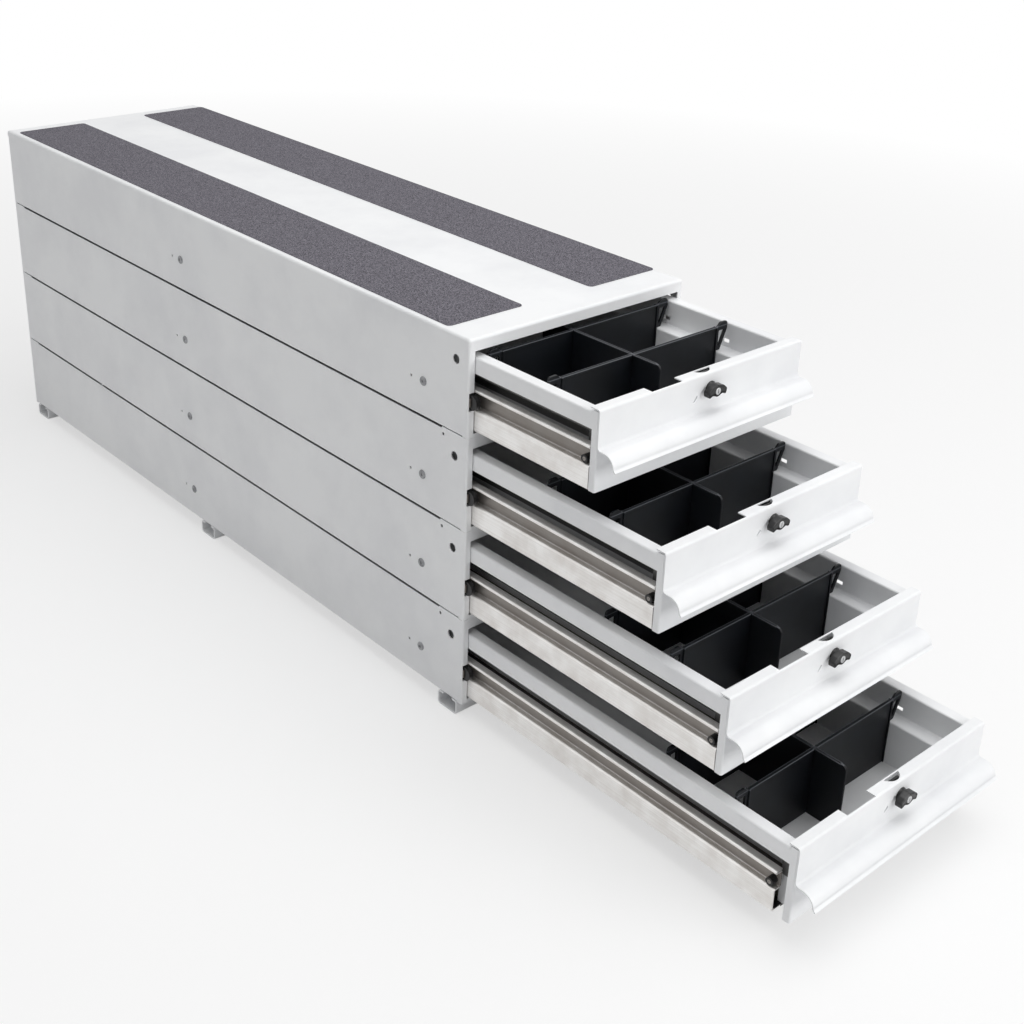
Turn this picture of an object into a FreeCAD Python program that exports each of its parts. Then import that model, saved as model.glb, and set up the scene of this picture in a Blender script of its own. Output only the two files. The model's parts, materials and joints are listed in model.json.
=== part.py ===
import FreeCAD, Part
import math
import os

# Long sheet-steel drawer unit for a van: four stacked tiers, each with a full-length drawer on
# three-member slides. X is across the drawer fronts, drawers open towards -Y, Z is up.
# The origin is on the floor, in the middle of the four floor bolts.

# Carcass sizes, millimetres
cabinet_width = 364.0
cabinet_length = 1220.0
tier_count = 4
tier_pitch = 126.0
sheet = 1.5
bend_radius = 1.5
seam_gap = 2.4
seam_front_margin = 48.0
seam_rear_margin = 35.0
butt_gap = 0.4
front_flange = 9.0
rear_flange = 20.0
fascia_height = 15.6
top_side_flange = 10.0
top_edge_radius = 4.0
rear_panel_thickness = 1.2
sheet_gap = 0.2
sill_height = 5.0
cross_rail_below = 16.4
cross_rail_above = 5.0
cross_rail_depth = 22.0

# Feet and floor bolts
foot_height = 21.0
foot_width = 38.0
foot_sheet = 2.5
foot_lip = 9.0
foot_margin = 9.0
middle_foot_offset = 9.5
floor_bolt_inset = 42.0
floor_bolt_radius = 4.5

# Grip strips on the top
strip_middle_gap = 115.0
strip_thickness = 0.9
strip_front_margin = 49.0
strip_rear_margin = 26.0
left_strip_margin = 9.0
right_strip_margin = 2.0

# Small holes near the front edge of each side
lift_hole_radius = 6.0
lift_hole_back = 23.5
lift_hole_up = 95.5
small_hole_radius = 2.2
small_hole_back = 45.0
small_hole_up = 117.0

# Drawer front, measured from its face plane and from the base of its tier
front_side_gap = 10.0
front_sheet = 1.5
front_bottom = 7.7
front_top = 107.7
front_flange_depth = 14.0
front_proud = 1.0
hood_up = 60.3
hood_reach = 25.4
hood_radius = 14.0
hood_fillet = 4.0
hood_tip_up = 45.5
hood_flare = 3.0
pan_return = 8.0
gusset_depth = 28.0
gusset_gap = 0.4
notch_left = -90.0
notch_right = -40.0
notch_depth = 20.0
front_openings = (204.0, 313.0, 417.0, 526.0)
slide_lags = (0.0, 0.0, 0.0, 13.0)

# Drawer tray
tray_sheet = 1.2
tray_rim_up = 102.5
tray_rim_drop = 20.5
tray_rim_width = 16.5
tray_ledge_up = 70.0
tray_step_width = 22.0
tray_floor_up = 10.0
tray_rear_gap = 12.0
rim_slot_pitch = 101.0
rim_slot_length = 9.0
rim_slot_height = 5.0
rim_slot_up = 76.0

# Dividers
divider_thickness = 3.0
divider_clearance = 0.4
divider_top_up = 102.0
divider_ear = 5.0
divider_ear_length = 13.0
divider_ear_slope = 11.0
divider_ear_gap = 2.5
divider_radius = 4.0
strip_corner_radius = 6.0
cross_divider_back = 102.0
cross_divider_pitch = 101.0
long_divider_x = -16.0
long_divider_front = 56.0
long_divider_length = 200.0

# Slides: the middle member, then the cabinet member, then the drawer member
slide_side_gap = 10.0
slide_sheet = 1.8
slide_bend = 1.6
nose_bend = 0.3
nose_space = 0.8
slide_bottom_up = 7.0
slide_flange = 15.0
groove_low_up = 37.0
groove_high_up = 57.0
groove_depth = 9.0
ledge_reach = 10.0
slide_front_gap = 12.0
slide_length = 1189.0

fixed_rail_sheet = 1.5
fixed_rail_height = 17.0
fixed_rail_reach = 14.0
fixed_rail_length = 700.0
fixed_rail_leg_back = 27.0
fixed_rail_tongue = 2.0

runner_sheet = 2.0
runner_step = 18.5
runner_bottom_up = 10.0
runner_top_up = 39.0
runner_front = 12.0
runner_length = 1150.0
runner_roller_radius = 12.6
runner_roller_width = 12.0
runner_roller_up = 22.0
runner_roller_spacing = 140.0
runner_axle_radius = 3.0

# Nylon guide blocks of the slides
guide_radius = 9.4
guide_forward = 11.5
guide_gap = 0.4
guide_length = 26.0
guide_rear_back = 650.0
bumper_radius = 5.0
bumper_back = 8.0
bumper_up = 43.0
support_length = 22.0
support_height = 3.4
support_gap = 0.3

# Slide screws
screw_radius = 2.4
screw_head_radius = 6.0
screw_head_height = 2.0
screw_length = 6.0
screw_clearance = 0.1
front_screw_back = 84.0
rear_screw_back = 655.0
spare_hole_offset = 24.0
spare_hole_radius = 1.9

# Latch
latch_x = 8.0
latch_up = 87.0
latch_barrel_radius = 8.9
latch_clearance = 0.1
latch_collar_radius = 12.0
latch_collar_height = 3.0
latch_hub_radius = 9.0
latch_hub_height = 9.0
wing_half_length = 19.0
wing_height = 11.0
wing_top = 10.0
wing_tip_high = 1.0
wing_tip_low = -9.0
wing_notch = -5.0
wing_round = 2.5
key_slot_width = 1.6
key_slot_length = 7.0
cam_gap = 0.4
cam_thickness = 2.0
crank_radius = 9.0
crank_pin_radius = 2.0
crank_angle = 30.0
bolt_width = 16.0
bolt_thickness = 4.0
bolt_left = -5.5
bolt_back = 6.6
bolt_bottom_up = 66.0
bolt_top_up = 106.5
bolt_slot_width = 26.8
bolt_slot_depth = 9.0
bolt_slot_back = 12.4
bolt_clearance = 0.4
keeper_clearance = 2.0
bolt_guide_thickness = 1.6
bolt_guide_height = 9.0
drain_hole_x = -17.0
drain_hole_up = 79.3
drain_hole_length = 9.0
drain_hole_width = 3.0
drain_hole_angle = 50.0

# Places worked out from the sizes
half_width = cabinet_width / 2
strip_width = (cabinet_width - left_strip_margin - right_strip_margin - strip_middle_gap) / 2
mouth_y = -cabinet_length / 2
rear_y = cabinet_length / 2
inner_half = half_width - sheet
body_height = tier_count * tier_pitch
top_z = foot_height + body_height
flange_edge = half_width - front_flange
groove_mid_up = (groove_low_up + groove_high_up) / 2
closed_face_y = mouth_y - front_proud
closed_slide_y = closed_face_y + slide_front_gap
fixed_rail_back_y = mouth_y + fixed_rail_length
front_half = half_width - front_side_gap
slide_half = half_width - slide_side_gap
tray_upper_half = slide_half - tray_rim_width
tray_lower_half = tray_upper_half - tray_step_width
joggle_half = tray_lower_half + tray_sheet
runner_half = slide_half - runner_step
ledge_up = groove_high_up + 2 * slide_sheet + nose_space

Vec = FreeCAD.Vector
X_AXIS = Vec(1, 0, 0)
Y_AXIS = Vec(0, 1, 0)
Z_AXIS = Vec(0, 0, 1)


def tier_base(tier):
    """Height of a tier's base; tier 1 is at the top."""
    return foot_height + (tier_count - tier) * tier_pitch


def box(x0, x1, y0, y1, z0, z1):
    return Part.makeBox(x1 - x0, y1 - y0, z1 - z0, Vec(x0, y0, z0))


def folded_outline(points, thickness, radii):
    """Closed outline of a folded sheet. points run along the middle of the sheet, radii are inner bend radii."""
    spots = [Vec(u, v, 0) for u, v in points]
    if not isinstance(radii, (list, tuple)):
        radii = [radii] * (len(spots) - 2)
    half = thickness / 2
    sides = {1: [], -1: []}
    start = {}
    for side in (1, -1):
        along = (spots[1] - spots[0]).normalize()
        start[side] = spots[0] + Vec(-along.y, along.x, 0) * half * side
    last = dict(start)
    for before, corner, after, radius in zip(spots, spots[1:], spots[2:], radii):
        into = (corner - before).normalize()
        out = (after - corner).normalize()
        turn = math.atan2(into.x * out.y - into.y * out.x, into.dot(out))
        middle = radius + half
        reach = middle * math.tan(abs(turn) / 2)
        sign = 1 if turn > 0 else -1
        centre = corner - into * reach + Vec(-into.y, into.x, 0) * middle * sign
        for side in (1, -1):
            bend = middle - half * side * sign
            first = centre - Vec(-into.y, into.x, 0) * bend * sign
            final = centre - Vec(-out.y, out.x, 0) * bend * sign
            mean = (first - centre + final - centre).normalize() * bend + centre
            sides[side].append(Part.LineSegment(last[side], first).toShape())
            sides[side].append(Part.Arc(first, mean, final).toShape())
            last[side] = final
    along = (spots[-1] - spots[-2]).normalize()
    for side in (1, -1):
        final = spots[-1] + Vec(-along.y, along.x, 0) * half * side
        sides[side].append(Part.LineSegment(last[side], final).toShape())
        last[side] = final
    caps = [Part.LineSegment(last[1], last[-1]).toShape(), Part.LineSegment(start[-1], start[1]).toShape()]
    return Part.Wire(Part.__sortEdges__(sides[1] + [caps[0]] + sides[-1] + [caps[1]]))


def along_y(outline, y0, y1):
    """A profile drawn in X and Z, pushed along Y."""
    face = Part.Face(outline)
    face.rotate(Vec(0, 0, 0), X_AXIS, 90)
    face.translate(Vec(0, y0, 0))
    return face.extrude(Vec(0, y1 - y0, 0))


def along_x(outline, x0, x1):
    """A profile drawn in Y and Z, pushed along X."""
    face = Part.Face(outline)
    face.rotate(Vec(0, 0, 0), X_AXIS, 90)
    face.rotate(Vec(0, 0, 0), Z_AXIS, 90)
    face.translate(Vec(x0, 0, 0))
    return face.extrude(Vec(x1 - x0, 0, 0))


def along_z(outline, z0, z1):
    """A profile drawn in X and Y, pushed along Z."""
    face = Part.Face(outline)
    face.translate(Vec(0, 0, z0))
    return face.extrude(Vec(0, 0, z1 - z0))


def polygon(points):
    return Part.makePolygon([Vec(u, v, 0) for u, v in points + points[:1]])


def pin_x(radius, x0, x1, y, z):
    return Part.makeCylinder(radius, x1 - x0, Vec(x0, y, z), X_AXIS)


def pin_y(radius, y0, y1, x, z):
    return Part.makeCylinder(radius, y1 - y0, Vec(x, y0, z), Y_AXIS)


def mirrored(shape):
    return shape.mirror(Vec(0, 0, 0), X_AXIS)


def both_sides(shape):
    return [shape, mirrored(shape)]


def joined(shapes):
    whole = shapes[0].fuse(shapes[1:]) if len(shapes) > 1 else shapes[0]
    return whole.removeSplitter()


def save(name, shapes):
    shapes = shapes if isinstance(shapes, list) else [shapes]
    solids = [solid for shape in shapes for solid in shape.Solids]
    for solid in solids:
        if not solid.isValid():
            raise ValueError("bad solid in " + name)
    whole = solids[0] if len(solids) == 1 else Part.makeCompound(solids)
    whole.exportStep(os.path.join("parts", name + ".step"))
    print(name, len(solids), round(sum(solid.Volume for solid in solids)))


def slot_y(length, width, y0, y1, x, z, angle):
    """A round-ended slot cut along Y, its long side turned by angle from X."""
    half = (length - width) / 2
    bar = box(-half, half, y0, y1, -width / 2, width / 2)
    slot = joined([bar, pin_y(width / 2, y0, y1, -half, 0), pin_y(width / 2, y0, y1, half, 0)])
    slot.rotate(Vec(0, 0, 0), Y_AXIS, -angle)
    slot.translate(Vec(x, 0, z))
    return slot


# Tier shells: floor and both sides folded from one sheet
def tier_shell(tier):
    base = tier_base(tier)
    height = tier_pitch - (top_side_flange if tier == 1 else butt_gap)
    wall = half_width - sheet / 2
    middle = base + sheet / 2
    side = [(-wall, base + height), (-wall, middle), (wall, middle), (wall, base + height)]
    body = along_y(folded_outline(side, sheet, bend_radius), mouth_y + front_flange, rear_y - front_flange)
    angles = []
    for sign in (-1, 1):
        for edge_y, reach, inward in ((mouth_y, front_flange, 1), (rear_y, rear_flange, -1)):
            mid_y = edge_y + inward * sheet / 2
            angle = [
                (sign * (half_width - reach), mid_y),
                (sign * wall, mid_y),
                (sign * wall, edge_y + inward * front_flange),
            ]
            angles.append(along_z(folded_outline(angle, sheet, bend_radius), base, base + height))
    floor_y = mouth_y + sheet
    corner_y = mouth_y + front_flange
    panel_y = rear_y - sheet - rear_panel_thickness - 2 * sheet_gap
    apron = box(-inner_half, inner_half, floor_y, corner_y, base, base + sheet)
    shell = joined([body, apron] + angles)
    shell = shell.cut(box(-inner_half + sheet, inner_half - sheet, panel_y, rear_y - sheet, base, base + sheet))
    shell = shell.cut(box(-inner_half, inner_half, panel_y, rear_y - sheet, base, base + 3 * sheet))
    if tier == tier_count:
        sill = box(-flange_edge, flange_edge, mouth_y, mouth_y + sheet, base, base + sill_height)
        shell = joined([shell, sill])
    else:
        room = cross_rail_above
        shell = shell.cut(box(-flange_edge, flange_edge, mouth_y, floor_y, base, base + room))
    cuts = []
    for sign in (-1, 1):
        x0, x1 = sorted((sign * (inner_half - 2 * sheet), sign * (half_width + sheet)))
        if tier > 1:
            seam = base + tier_pitch - seam_gap
            cuts.append(box(x0, x1, mouth_y + seam_front_margin, rear_y - seam_rear_margin, seam, base + tier_pitch))
        for back in (front_screw_back, rear_screw_back):
            z = base + groove_mid_up
            cuts.append(pin_x(screw_radius + screw_clearance, x0, x1, mouth_y + back, z))
            cuts.append(pin_x(spare_hole_radius, x0, x1, mouth_y + back + spare_hole_offset, z))
        cuts.append(pin_x(lift_hole_radius, x0, x1, mouth_y + lift_hole_back, base + lift_hole_up))
        if tier > 1:
            cuts.append(pin_x(small_hole_radius, x0, x1, mouth_y + small_hole_back, base + small_hole_up))
        low, high = base + groove_mid_up - guide_radius - 2, base + groove_mid_up + guide_radius + 2
        edge0, edge1 = sorted((sign * flange_edge, sign * inner_half))
        cuts.append(box(edge0, edge1, mouth_y, mouth_y + sheet + bend_radius, low, high))
    return shell.cut(Part.makeCompound(cuts))


# Top plate: a shallow pan with a deeper lip at the front
def top_plate():
    pan = box(-half_width, half_width, mouth_y, rear_y, top_z - fascia_height, top_z)
    edges = [e for e in pan.Edges if e.BoundBox.ZMin > top_z - sheet]
    edges += [e for e in pan.Edges if e.BoundBox.ZLength > sheet and e.BoundBox.YMax < 0]
    pan = pan.makeFillet(top_edge_radius, edges)
    under = [f for f in pan.Faces if f.BoundBox.ZMax < top_z - sheet and f.BoundBox.ZLength < sheet]
    pan = pan.makeThickness(under, -sheet, 1e-3)
    low = top_z - fascia_height - sheet
    lip = top_z - top_side_flange
    back = mouth_y + front_flange
    pan = pan.cut(box(-half_width - sheet, half_width + sheet, back, rear_y + sheet, low, lip))
    ends = [box(-half_width - sheet, -flange_edge, mouth_y - sheet, back, low, lip)]
    ends.append(box(flange_edge, half_width + sheet, mouth_y - sheet, back, low, lip))
    return pan.cut(Part.makeCompound(ends))


def rear_panel():
    y1 = rear_y - sheet - sheet_gap
    low = foot_height + sheet_gap
    half = inner_half - bend_radius
    return box(-half, half, y1 - rear_panel_thickness, y1, low, top_z - top_edge_radius - sheet_gap)


def cross_rail(tier):
    """The channel under a tier's floor at the mouth, between two drawers."""
    base = tier_base(tier)
    low, high = base - cross_rail_below, base + cross_rail_above
    y = mouth_y + sheet / 2
    depth = mouth_y + cross_rail_depth
    path = [(depth, low + sheet / 2), (y, low + sheet / 2), (y, high)]
    rail = along_x(folded_outline(path, sheet, bend_radius), -flange_edge, flange_edge)
    x0, x1 = bolt_left - keeper_clearance, bolt_left + bolt_width + keeper_clearance
    y0 = closed_face_y + bolt_back - keeper_clearance
    y1 = closed_face_y + bolt_back + bolt_thickness + keeper_clearance
    return rail.cut(box(x0, x1, y0, y1, low - sheet, low + 2 * sheet))


def foot(y0):
    """A channel across the unit, with lips under the floor and open ends."""
    half = foot_sheet / 2
    low, high = half, foot_height - half
    a, b = y0 + half, y0 + foot_width - half
    path = [(a + foot_lip, high), (a, high), (a, low), (b, low), (b, high), (b - foot_lip, high)]
    channel = along_x(folded_outline(path, foot_sheet, foot_sheet), -half_width, half_width)
    y = y0 + foot_width / 2
    bolt_x = half_width - floor_bolt_inset
    holes = [Part.makeCylinder(floor_bolt_radius, 2 * foot_sheet, Vec(x, y, -half)) for x in (-bolt_x, bolt_x)]
    return channel.cut(Part.makeCompound(holes))


def grip_strip(x0):
    y0, y1 = mouth_y + strip_front_margin, rear_y - strip_rear_margin
    strip = box(x0, x0 + strip_width, y0, y1, top_z, top_z + strip_thickness)
    corners = [e for e in strip.Edges if e.BoundBox.ZLength > strip_thickness / 2]
    return strip.makeFillet(strip_corner_radius, corners)


# Slides, drawn for the +X side
def cabinet_member(tier):
    base = tier_base(tier)
    low = base + groove_mid_up - fixed_rail_height / 2
    high = low + fixed_rail_height
    half = fixed_rail_sheet / 2
    web = inner_half - half
    tip = inner_half - fixed_rail_reach
    path = [(tip, low + half), (web, low + half), (web, high - half), (tip, high - half)]
    leg_y = mouth_y + fixed_rail_leg_back
    rail = along_y(folded_outline(path, fixed_rail_sheet, fixed_rail_sheet), leg_y, fixed_rail_back_y)
    strip_low, strip_high = low + 2 * fixed_rail_sheet, high - 2 * fixed_rail_sheet
    tongue_y = mouth_y - fixed_rail_tongue
    tongue = box(web - half, inner_half, tongue_y, leg_y + fixed_rail_sheet, strip_low, strip_high)
    rail = joined([rail, tongue])
    for back in (front_screw_back, rear_screw_back):
        rail = rail.cut(pin_x(screw_radius + screw_clearance, tip, half_width, mouth_y + back, base + groove_mid_up))
    return rail


def guide_blocks(tier):
    """Nylon guide at the mouth, guide behind the bumper and guide at the rear of the cabinet member."""
    base = tier_base(tier)
    z = base + groove_mid_up
    outer = inner_half - fixed_rail_sheet
    nose_x = slide_half + guide_gap
    nose = pin_x(guide_radius, nose_x, outer, mouth_y - guide_forward + guide_radius, z)
    tail = box(nose_x, outer, mouth_y - guide_forward + guide_radius, mouth_y + guide_length / 2, z - guide_radius, z + guide_radius)
    front = joined([nose, tail])
    groove_back = slide_half - groove_depth
    inside = fixed_rail_height / 2 - fixed_rail_sheet
    blocks = [front]
    for back in (fixed_rail_leg_back + fixed_rail_sheet, guide_rear_back):
        y0 = mouth_y + back
        body = box(groove_back + guide_gap, outer, y0, y0 + guide_length, z - inside, z + inside)
        bends = [e for e in body.Edges if e.BoundBox.XMin > outer - sheet_gap and e.BoundBox.YLength > sheet]
        body = body.makeFillet(fixed_rail_sheet + sheet_gap, bends)
        lip_x = inner_half - fixed_rail_reach
        room = (groove_high_up - groove_low_up) / 2 - guide_gap
        lip = box(groove_back + guide_gap, lip_x, y0, y0 + guide_length, z - room, z + room)
        corners = [e for e in lip.Edges if e.BoundBox.XMax < lip_x - sheet_gap and e.BoundBox.YLength > sheet]
        lip = lip.makeFillet(slide_bend, corners)
        block = joined([body, lip])
        stub = [pin_x(screw_radius + 2 * screw_clearance, lip_x, half_width, mouth_y + s, z) for s in (front_screw_back, rear_screw_back)]
        blocks.append(block.cut(Part.makeCompound(stub)))
    return blocks


def slide_screws(tier):
    z = tier_base(tier) + groove_mid_up
    screws = []
    for back in (front_screw_back, rear_screw_back):
        y = mouth_y + back
        shank = pin_x(screw_radius, half_width - screw_length, half_width, y, z)
        head = pin_x(screw_head_radius, half_width, half_width + screw_head_height, y, z)
        rim = [e for e in head.Edges if e.BoundBox.XMin > half_width + screw_head_height / 2]
        head = head.makeFillet(screw_head_height / 2, rim)
        screws.append(joined([shank, head]))
    return screws


def slide_y(tier):
    """Where the front end of a middle member stands at rest."""
    return face_y(tier) + slide_front_gap + slide_lags[tier - 1]


def face_y(tier):
    return mouth_y - front_openings[tier - 1]


def middle_member(tier):
    base = tier_base(tier)
    half = slide_sheet / 2
    web = slide_half - half
    groove = web - groove_depth
    path = [
        (slide_half - slide_flange, base + slide_bottom_up + half),
        (web, base + slide_bottom_up + half),
        (web, base + groove_low_up - half),
        (groove, base + groove_low_up - half),
        (groove, base + groove_high_up + half),
        (web, base + groove_high_up + half),
        (web, base + ledge_up - half),
        (slide_half - ledge_reach, base + ledge_up - half),
    ]
    radii = [slide_bend] * 4 + [nose_bend] * 2
    y0 = slide_y(tier)
    rail = along_y(folded_outline(path, slide_sheet, radii), y0, y0 + slide_length)
    z = base + bumper_up
    hole = pin_x(screw_radius + screw_clearance, groove - slide_sheet, web, y0 + bumper_back, z)
    return rail.cut(hole)


def slide_glides(tier):
    """Bumper in the outer groove with its stem through the web, and the support shoe under the drawer member."""
    base = tier_base(tier)
    y0 = slide_y(tier)
    groove_face = slide_half - groove_depth
    z = base + bumper_up
    ring = pin_x(bumper_radius, groove_face, slide_half - guide_gap, y0 + bumper_back, z)
    stem = pin_x(screw_radius, groove_face - slide_sheet - guide_gap, groove_face, y0 + bumper_back, z)
    top = base + runner_bottom_up - support_gap
    shoe_low = base + slide_bottom_up + slide_sheet
    inner = joggle_half + guide_gap
    tip = slide_half - slide_flange
    bed = box(inner, tip - guide_gap, y0, y0 + support_length, top - support_height, top)
    pad = box(tip - guide_gap, runner_half + slide_flange - sheet, y0, y0 + support_length, shoe_low, top)
    return [joined([ring, stem]), joined([bed, pad])]


def drawer_member(tier):
    base = tier_base(tier)
    half = runner_sheet / 2
    wall = joggle_half
    web = runner_half - half
    low, high = base + runner_bottom_up + half, base + runner_top_up - half
    path = [(wall, low), (web, low), (web, high), (wall, high)]
    y0 = face_y(tier) + runner_front
    y1 = y0 + runner_length
    rail = along_y(folded_outline(path, runner_sheet, runner_sheet), y0, y1)
    pieces = []
    for step in (0, 1):
        y = y1 - runner_roller_radius - step * runner_roller_spacing
        z = base + runner_roller_up
        x0 = runner_half + 2 * guide_gap
        rail = rail.cut(pin_x(runner_axle_radius + screw_clearance, web - runner_sheet, runner_half + half, y, z))
        roller = pin_x(runner_roller_radius, x0, x0 + runner_roller_width, y, z)
        axle = pin_x(runner_axle_radius, web - 2 * runner_sheet, x0, y, z)
        pieces.append(joined([roller, axle]))
    return [rail] + pieces


# Drawer tray with its front pan
def drawer_tray(tier):
    base = tier_base(tier)
    half = tray_sheet / 2
    rim = slide_half - half
    upper = tray_upper_half + half
    lower = tray_lower_half + half
    right = [
        (lower, base + tray_floor_up + half),
        (lower, base + tray_ledge_up - half),
        (upper, base + tray_ledge_up - half),
        (upper, base + tray_rim_up - half),
        (rim, base + tray_rim_up - half),
        (rim, base + tray_rim_up - tray_rim_drop),
    ]
    path = [(-x, z) for x, z in reversed(right)] + right
    face = face_y(tier)
    pan_y = face + front_sheet
    y0 = pan_y + tray_sheet
    y1 = face + front_proud + cabinet_length - tray_rear_gap
    body = along_y(folded_outline(path, tray_sheet, tray_sheet), y0, y1)
    back = [
        (-upper, base + tray_rim_up - tray_sheet),
        (-upper, base + tray_ledge_up - half),
        (-lower, base + tray_ledge_up - half),
        (-lower, base + tray_floor_up + half),
        (lower, base + tray_floor_up + half),
        (lower, base + tray_ledge_up - half),
        (upper, base + tray_ledge_up - half),
        (upper, base + tray_rim_up - tray_sheet),
    ]
    rear = along_y(polygon(back), y1 - tray_sheet, y1)
    edge = front_half - half
    pan_path = [(-edge, y0 + pan_return), (-edge, pan_y + half), (edge, pan_y + half), (edge, y0 + pan_return)]
    low, high = base + front_bottom, base + front_top - 2 * front_sheet - sheet_gap
    pan = along_z(folded_outline(pan_path, tray_sheet, tray_sheet), low, high)
    gusset_x = runner_half + gusset_gap
    gusset_low = base + runner_bottom_up + sheet_gap
    gusset_high = base + tray_ledge_up - tray_sheet
    gusset = box(gusset_x, gusset_x + tray_sheet, y0, y0 + gusset_depth, gusset_low, gusset_high)
    tray = joined([body, rear, pan] + both_sides(gusset) + latch_guides(base, y0))
    cuts = []
    notch_low = base + front_top - notch_depth
    cuts.append(box(notch_left, notch_right, pan_y, y0 + front_flange_depth, notch_low, base + front_top))
    barrel = latch_barrel_radius + latch_clearance
    cuts.append(pin_y(barrel, face, y0, latch_x, base + latch_up))
    count = int((y1 - face - cross_divider_back) // rim_slot_pitch) + 1
    for number in range(count):
        y = face + cross_divider_back + number * rim_slot_pitch
        z = base + rim_slot_up
        for sign in (-1, 1):
            x0, x1 = sorted((sign * (upper - tray_sheet), sign * (upper + tray_sheet)))
            cuts.append(box(x0, x1, y - rim_slot_length / 2, y + rim_slot_length / 2, z, z + rim_slot_height))
    return tray.cut(Part.makeCompound(cuts))


def latch_guides(base, y0):
    """Welded bracket behind the front pan that the latch bolt slides in."""
    low = base + bolt_bottom_up
    high = low + bolt_guide_height
    left, right = bolt_left - bolt_clearance, bolt_left + bolt_width + bolt_clearance
    thickness = bolt_guide_thickness
    back = y0 + bolt_back - front_sheet - tray_sheet + bolt_thickness + bolt_clearance
    cheeks = [box(left - thickness, left, y0, back + thickness, low, high)]
    cheeks.append(box(right, right + thickness, y0, back + thickness, low, high))
    cheeks.append(box(left - thickness, right + thickness, back, back + thickness, low, high))
    return cheeks


# Drawer front: face with a top flange and the full-width hood pull, one sheet
def drawer_front(tier):
    base = tier_base(tier)
    face = face_y(tier)
    half = front_sheet / 2
    top = base + front_top - half
    lip = face - hood_reach + half
    path = [
        (face + front_flange_depth, top),
        (face + half, top),
        (face + half, base + hood_up - half),
        (lip, base + hood_up - half),
        (lip, base + hood_tip_up),
        (lip - hood_flare, base + hood_tip_up - hood_flare),
    ]
    radii = [front_sheet, hood_fillet, hood_radius, hood_fillet]
    panel = along_x(folded_outline(path, front_sheet, radii), -front_half, front_half)
    cuts = []
    notch_low = base + front_top - front_sheet
    cuts.append(box(notch_left, notch_right, face + front_sheet, face + front_flange_depth, notch_low, base + front_top))
    barrel = latch_barrel_radius + latch_clearance
    cuts.append(pin_y(barrel, face - sheet, face + 2 * front_sheet, latch_x, base + latch_up))
    half_slot = bolt_slot_width / 2
    slot_radius = (half_slot**2 + bolt_slot_depth**2) / (2 * bolt_slot_depth)
    x, y = bolt_left + bolt_width / 2, face + bolt_slot_back
    low = notch_low - front_sheet
    round_end = Part.makeCylinder(slot_radius, base + front_top - low, Vec(x, y - bolt_slot_depth + slot_radius, low))
    cuts.append(round_end.common(box(x - half_slot, x + half_slot, face, y, low, base + front_top)))
    slot = slot_y(drain_hole_length, drain_hole_width, face - sheet, face + front_sheet, drain_hole_x, base + drain_hole_up, drain_hole_angle)
    cuts.append(slot)
    return panel.cut(Part.makeCompound(cuts))


# Dividers: plastic plates that hook on the tray's ledge and slot into each other
def cross_divider(tier, number):
    base = tier_base(tier)
    gap = divider_clearance
    upper, lower = tray_upper_half - gap, tray_lower_half - gap
    floor = base + tray_floor_up + tray_sheet + gap
    shoulder = base + tray_ledge_up + gap
    top = base + divider_top_up
    tip = upper - divider_ear_gap
    ear = tip - divider_ear_length
    right = [
        (lower, floor),
        (lower, shoulder),
        (tip - divider_ear_slope, shoulder),
        (tip, top - divider_ear),
        (tip, top + divider_ear),
        (ear, top + divider_ear),
        (ear - divider_ear, top),
    ]
    outline = right + [(-x, z) for x, z in reversed(right)]
    y = face_y(tier) + cross_divider_back + number * cross_divider_pitch
    half = divider_thickness / 2
    plate = along_y(polygon(outline), y - half, y + half)
    corners = [
        e
        for e in plate.Edges
        if e.BoundBox.YLength > half and e.BoundBox.ZMin > top + half
    ]
    plate = plate.makeFillet(divider_radius, corners)
    middle = (floor + top) / 2
    x = long_divider_x
    return plate.cut(box(x - half - gap, x + half + gap, y - half, y + half, middle - gap, top + half))


def long_divider(tier):
    base = tier_base(tier)
    gap = divider_clearance
    floor = base + tray_floor_up + tray_sheet + gap
    top = base + divider_top_up
    y0 = face_y(tier) + long_divider_front
    y1 = y0 + long_divider_length
    half = divider_thickness / 2
    x = long_divider_x
    plate = box(x - half, x + half, y0, y1, floor, top)
    corners = [e for e in plate.Edges if e.BoundBox.XLength > half and e.BoundBox.ZMin > top - half]
    plate = plate.makeFillet(2 * divider_radius, corners)
    middle = (floor + top) / 2
    for number in range(2):
        y = face_y(tier) + cross_divider_back + number * cross_divider_pitch
        plate = plate.cut(box(x - half, x + half, y - half - gap, y + half + gap, floor, middle + gap))
    return plate


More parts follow.
